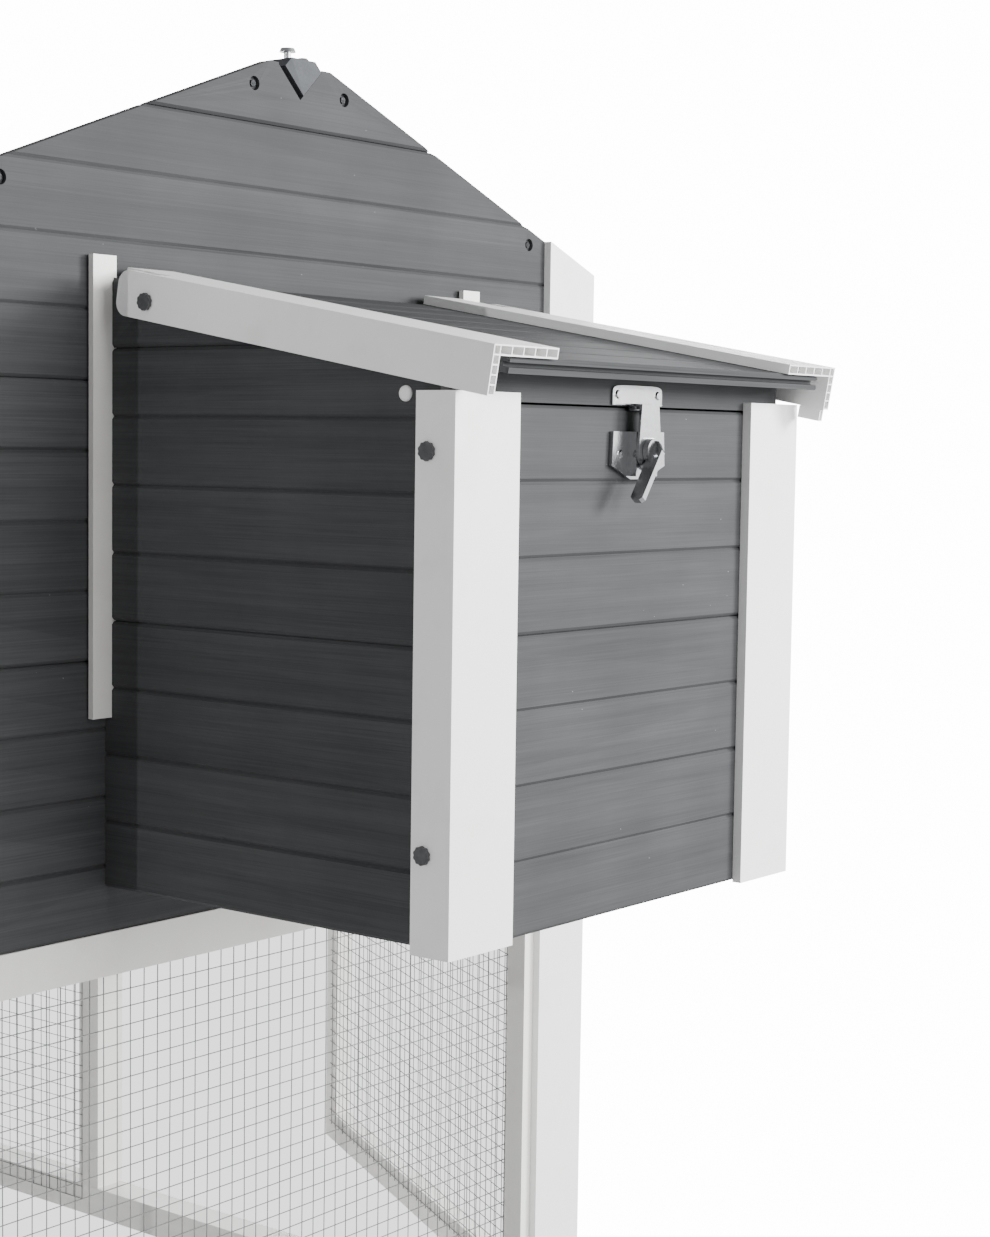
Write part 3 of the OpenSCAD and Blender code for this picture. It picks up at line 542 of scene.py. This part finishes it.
@dataclass
class WirePanel:
    """One field of square welded mesh that stands for its flat CAD node."""

    node: str
    body: str = "coop"
    turn: float = 0.0
    pitch: float = 19.0 * MM
    wire: float = 0.62 * MM
    seed: int = 1
    bow: float = 0.9 * MM
    steps: int = 4

    def build(self) -> bpy.types.Object:
        """Lays upright wires against level ones and welds them into one piece.

        Returns:
            The mesh piece, riding on its body.
        """
        spin = Matrix.Rotation(math.radians(self.turn), 4, "Z")
        corners = [spin @ v.co for v in cad(self.node).data.vertices]
        low = Vector([min(c[i] for c in corners) for i in range(3)])
        high = Vector([max(c[i] for c in corners) for i in range(3)])
        thin = 0 if high.x - low.x < high.y - low.y else 1
        wide = 1 - thin
        middle = (low[thin] + high[thin]) / 2
        rng = random.Random(self.seed)
        bm = bmesh.new()
        for upright in (True, False):
            first, last = (low[wide], high[wide]) if upright else (low.z, high.z)
            count = int((last - first) / self.pitch)
            margin = (last - first - count * self.pitch) / 2
            side = middle + (self.wire if upright else -self.wire)
            for k in range(count + 1):
                at = first + margin + k * self.pitch
                self.lay(bm, spin, thin, wide, side, at, upright, low, high, rng)
        piece = mesh_object(self.node + "_wires", bm, WIRE.material())
        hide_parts(self.node)
        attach(piece, self.body)
        return piece

    def lay(self, bm: bmesh.types.BMesh, spin: Matrix, thin: int, wide: int, side: float, at: float,
            upright: bool, low: Vector, high: Vector, rng: random.Random) -> None:
        """Adds one wire with the slight bow that real mesh has.

        Args:
            bm: Mesh that takes it.
            spin: Turn of the panel that sets it square to the axes.
            thin: Axis across the panel.
            wide: Level axis in the panel.
            side: Place of the wire's middle across the panel.
            at: Its place along the panel.
            upright: Whether it stands; the others lie level.
            low: Lowest corner of the panel.
            high: Highest corner of the panel.
            rng: Source of the bow.
        """
        lean = [rng.uniform(-self.bow, self.bow) for _ in range(self.steps + 1)]
        points = []
        for i in range(self.steps + 1):
            point = Vector((0.0, 0.0, 0.0))
            point[thin] = side
            along = i / self.steps
            if upright:
                point[wide] = at + lean[i]
                point.z = low.z + along * (high.z - low.z)
            else:
                point[wide] = low[wide] + along * (high[wide] - low[wide])
                point.z = at + lean[i]
            points.append(spin.inverted() @ point)
        self.sweep(bm, points)

    def sweep(self, bm: bmesh.types.BMesh, points: list[Vector], sides: int = 5) -> None:
        """Adds a thin round wire.

        Args:
            bm: Mesh that takes it.
            points: Places that its middle goes through.
            sides: Number of facets round it.
        """
        rings = []
        for i, point in enumerate(points):
            along = (points[min(i + 1, len(points) - 1)] - points[max(i - 1, 0)]).normalized()
            across = along.cross(SKEW).normalized()
            other = along.cross(across)
            turns = [2 * math.pi * s / sides for s in range(sides)]
            rings.append([bm.verts.new(point + self.wire * (math.cos(t) * across + math.sin(t) * other))
                          for t in turns])
        for one, two in zip(rings, rings[1:]):
            for s in range(sides):
                bm.faces.new((one[s], one[(s + 1) % sides], two[(s + 1) % sides], two[s]))
        bm.faces.new(list(reversed(rings[0])))
        bm.faces.new(rings[-1])


@dataclass
class RunMesh:
    """All wire panels of the run."""

    door_angle: float = 29.3

    def build(self) -> None:
        """Builds every panel with its own seed."""
        panels = [WirePanel(n) for n in ("front_run_mesh", "left_lower_mesh", "left_run_mesh",
                                         "right_run_mesh", "rear_run_mesh")]
        panels.append(WirePanel("run_door_mesh", "run_door", self.door_angle))
        for seed, panel in enumerate(panels, start=3):
            panel.seed = seed
            panel.build()
            log.info("%s", panel.node)


# ---------------------------------------------------------------- small fittings

@dataclass
class BlindHeads:
    """Domed white cover heads near the front edge of both nest box side panels."""

    back: float = 55 * MM
    height: float = 501 * MM
    radius: float = 7.2 * MM
    sink: float = 0.5 * MM
    # radius and height of the dome's rings, as shares of the head's radius
    dome: tuple[tuple[float, float], ...] = ((0, 0), (1, 0), (1, 0.2), (0.93, 0.36), (0.72, 0.5),
                                             (0.4, 0.58), (0, 0.6))

    def build(self) -> None:
        """Sets one head on each side panel."""
        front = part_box("nest_front")[0]
        for node, out in (("nest_left_side", -1), ("nest_right_side", 1)):
            low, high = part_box(node)
            face = low[0] if out < 0 else high[0]
            bm = bmesh.new()
            spot = Vector((face - out * self.sink, front[1] + self.back, front[2] + self.height))
            outline = [(wide * self.radius, tall * self.radius) for wide, tall in self.dome]
            add_turned(bm, spot, Vector((out, 0, 0)), outline)
            head = mesh_object("cover_head_" + node, bm, TRIM_Z.material())
            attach(head, "coop")
        log.info("cover heads: 2")


# ---------------------------------------------------------------- studio

@dataclass
class Studio:
    """White surround, soft light and the camera."""

    lens: float = 65.37
    eye: Vector = field(default_factory=lambda: Vector((-1.8117, -1.6988, 1.1973)))
    forward: Vector = field(default_factory=lambda: Vector((0.78467, 0.61504, -0.07752)))
    right: Vector = field(default_factory=lambda: Vector((0.61772, -0.78627, 0.01446)))
    ways: dict[str, tuple[float, float, float]] = field(default_factory=lambda: {
        "behind": (0.785, 0.615, -0.06), "card": (0.785, -0.615, -0.05), "left": (-0.592, 0.806, 0.0)})
    dim: float = 0.58
    bright: float = 1.1
    wall: float = 14.0
    # grey level of the floor seen behind the run: painted shade of the coop on it
    painted_floor_shade: float = 2.0
    card: float = 1.6
    # where each change in the surround starts and stops, along its own direction
    side_edge: tuple[float, float] = (-0.5, 0.55)
    ceiling_edge: tuple[float, float] = (0.2, 0.8)
    wall_edge: tuple[float, float] = (0.84, 0.92)
    wall_top: tuple[float, float] = (0.22, 0.26)
    card_edge: tuple[float, float] = (0.93, 0.985)
    painted_floor_shade_side: tuple[float, float] = (-0.01, 0.01)
    painted_floor_shade_top: tuple[float, float] = (-0.13, -0.15)

    def build(self) -> None:
        """Sets up the whole studio."""
        self.sky()
        self.lamps()
        self.camera()

    def origin(self) -> Vector:
        """Point on the ground below the middle of the gable wall's outer face."""
        low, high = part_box("front_gable_boards")
        return Vector(((low[0] + high[0]) / 2, low[1], 0.0))

    def sky(self) -> None:
        """Even surround that is dim on the left, with white boards behind the coop and to its right."""
        world = bpy.data.worlds.new("studio")
        bpy.context.scene.world = world
        world.use_nodes = True
        tree = world.node_tree
        tree.nodes.clear()
        where = add_node(tree, "ShaderNodeTexCoord").outputs["Generated"]
        parts = add_node(tree, "ShaderNodeSeparateXYZ", {0: where})
        across, height = parts.outputs[0], parts.outputs[2]
        towards = {name: add_node(tree, "ShaderNodeVectorMath", {0: where, 1: way},
                                  operation="DOT_PRODUCT").outputs["Value"]
                   for name, way in self.ways.items()}
        sides = add_node(tree, "ShaderNodeMapRange", span(across, *self.side_edge, self.dim, self.bright),
                         interpolation_type="SMOOTHSTEP").outputs[0]
        ceiling = add_node(tree, "ShaderNodeMapRange",
                           span(height, *self.ceiling_edge, 1.0, 0.5)).outputs[0]
        sides = add_node(tree, "ShaderNodeMath", {0: sides, 1: ceiling}, operation="MULTIPLY").outputs[0]
        # the board behind ends above the coop, so that level faces do not mirror it
        wall = add_node(tree, "ShaderNodeMapRange",
                        span(towards["behind"], *self.wall_edge, 0.0, self.wall),
                        interpolation_type="SMOOTHSTEP").outputs[0]
        low_wall = add_node(tree, "ShaderNodeMapRange", span(height, *self.wall_top, 1.0, 0.0)).outputs[0]
        level = add_node(tree, "ShaderNodeMath", {0: wall, 1: low_wall, 2: sides},
                         operation="MULTIPLY_ADD").outputs[0]
        card = add_node(tree, "ShaderNodeMapRange",
                        span(towards["card"], *self.card_edge, 0.0, self.card),
                        interpolation_type="SMOOTHSTEP").outputs[0]
        level = add_node(tree, "ShaderNodeMath", {0: level, 1: card}, operation="ADD").outputs[0]
        # floor below the horizon, seen only behind the run; its grey level is painted shade of the coop on
        # that floor
        left = add_node(tree, "ShaderNodeMapRange",
                        span(towards["left"], *self.painted_floor_shade_side, 0.0, 1.0)).outputs[0]
        ground = add_node(tree, "ShaderNodeMapRange", span(height, *self.painted_floor_shade_top, 0.0, 1.0)).outputs[0]
        ahead = add_node(tree, "ShaderNodeMapRange",
                         span(towards["behind"], *self.wall_edge, 0.0, 1.0)).outputs[0]
        painted_floor_shade = add_node(tree, "ShaderNodeMath", {0: left, 1: ground}, operation="MULTIPLY").outputs[0]
        painted_floor_shade = add_node(tree, "ShaderNodeMath", {0: painted_floor_shade, 1: ahead}, operation="MULTIPLY").outputs[0]
        level = add_node(tree, "ShaderNodeMix", {0: painted_floor_shade, 2: level, 3: self.painted_floor_shade}).outputs[0]
        light = add_node(tree, "ShaderNodeBackground", {"Color": linear("#FDFDFF"), "Strength": level})
        add_node(tree, "ShaderNodeOutputWorld", {"Surface": light.outputs[0]})

    def lamp(self, name: str, kind: str, place: Vector, target: Vector, energy: float,
             size: float) -> bpy.types.Object:
        """Adds one lamp that looks at a target.

        Args:
            name: Name of the lamp.
            kind: AREA or SUN.
            place: Where it stands.
            target: What it looks at.
            energy: Watts, or watts per square metre for a sun.
            size: Side in metres, or the sun's width in radians.

        Returns:
            The lamp's object.
        """
        data = bpy.data.lights.new(name, kind)
        data.energy = energy
        if kind == "SUN":
            data.angle = size
        else:
            data.size = size
        lamp = bpy.data.objects.new(name, data)
        lamp.location = place
        lamp.rotation_euler = (target - place).to_track_quat("-Z", "Y").to_euler()
        bpy.context.scene.collection.objects.link(lamp)
        return lamp

    def lamps(self) -> None:
        """A big soft light in front and to the right, and a weak crisp one from the far left."""
        base = self.origin()
        middle = base + Vector((0, -0.3, 1.1))
        self.lamp("front_softbox", "AREA", base + Vector((0.5, -3.7, 2.0)), middle, 205, 2.2)
        self.lamp("right_softbox", "AREA", base + Vector((2.6, -3.1, 2.2)), middle, 330, 1.3)
        self.lamp("left_strip", "SUN", base + Vector((-6.0, 0.86, 1.9)), base + Vector((0, 0, 1.0)),
                  0.7, 0.01)

    def camera(self) -> None:
        """The camera at the measured place and direction."""
        data = bpy.data.cameras.new("camera")
        data.sensor_fit = "AUTO"
        data.sensor_width = 36.0
        data.lens = self.lens
        data.clip_end = 200.0
        camera = bpy.data.objects.new("camera", data)
        ahead = self.forward.normalized()
        side = (self.right - ahead * self.right.dot(ahead)).normalized()
        up = side.cross(ahead)
        turn = Matrix((side, up, -ahead)).transposed().to_4x4()
        camera.matrix_world = Matrix.Translation(self.origin() + self.eye) @ turn
        bpy.context.scene.collection.objects.link(camera)
        bpy.context.scene.camera = camera


def main() -> None:
    """Builds the parts in order."""
    logging.basicConfig(level=logging.INFO, format="%(name)s: %(message)s")
    for part in (Studio(), Casework(), RunMesh(), BlindHeads()):
        part.build()
        log.info("%s done", type(part).__name__)


if __name__ == "__main__":
    main()
